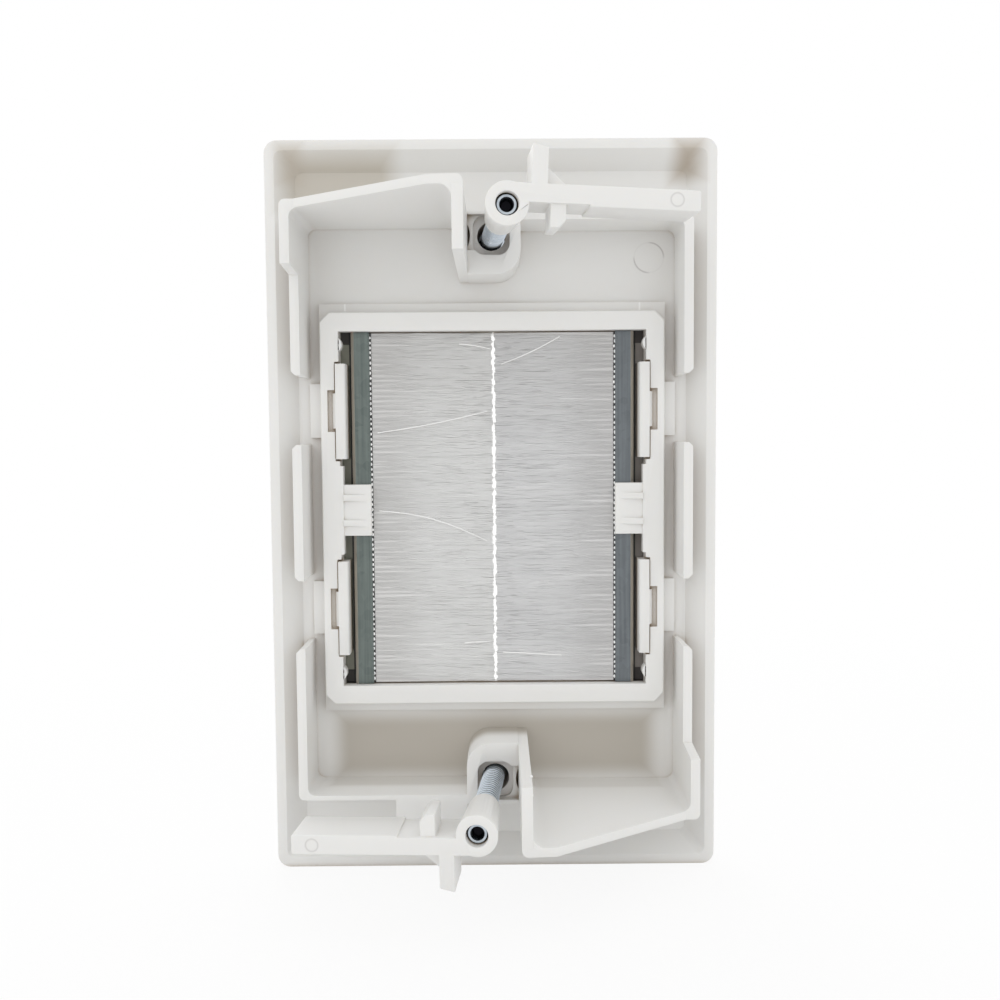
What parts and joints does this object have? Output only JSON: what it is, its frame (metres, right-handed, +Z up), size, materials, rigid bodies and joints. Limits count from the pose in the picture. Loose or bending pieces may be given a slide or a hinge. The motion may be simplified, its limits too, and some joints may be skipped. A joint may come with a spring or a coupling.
{
  "type": "cable pass-through wall plate",
  "caption": "One-gang wall plate with a split brush in its window for cables, swing clamps on long screws and a collar that enters the hole in the wall.",
  "frame": {"origin": "centre of the plate's outline in the plane of the rim's rear face, which is the plane of the wall", "axes": "+Y from the room into the wall, along the plate's normal; +Z up along the plate's long side; +X to the right as seen from the room"},
  "size_m": [0.0698, 0.034, 0.1142],
  "materials": {
    "white_plastic": "satin, slightly warm white moulded plastic",
    "channel_steel": "galvanised sheet, dull grey-green",
    "filament": "fine white and clear filaments",
    "core_steel": "drawn wire",
    "screw_zinc": "bluish zinc plating"
  },
  "bodies": {
    "plate": {"wall_plate": "white_plastic", "insert_frame": "white_plastic", "channel_left": "channel_steel", "channel_right": "channel_steel", "bristles_left": "filament", "bristles_right": "filament", "core_wire_left": "core_steel", "core_wire_right": "core_steel"},
    "top_screw": {"screw_top": "screw_zinc"},
    "top_clamp": {"clamp_top": "white_plastic"},
    "bottom_screw": {"screw_bottom": "screw_zinc"},
    "bottom_clamp": {"clamp_bottom": "white_plastic"}
  },
  "joints": [
    {"name": "top_clamp_swing", "type": "hinge", "parent": "plate", "child": "top_screw", "pos_m": [0, -0.0004, 0.04175], "axis": [-0.0804, 0.9966, -0.0166], "range_deg": [0, 75]},
    {"name": "top_clamp_travel", "type": "slide", "parent": "top_screw", "child": "top_clamp", "axis": [0.0804, -0.9966, 0.0166], "range_m": [0, 0.0105]},
    {"name": "bottom_clamp_swing", "type": "hinge", "parent": "plate", "child": "bottom_screw", "pos_m": [0, -0.0004, -0.04175], "axis": [0.0925, 0.9957, -0.002], "range_deg": [0, 75]},
    {"name": "bottom_clamp_travel", "type": "slide", "parent": "bottom_screw", "child": "bottom_clamp", "axis": [-0.0925, -0.9957, 0.002], "range_m": [0, 0.0105]}
  ]
}
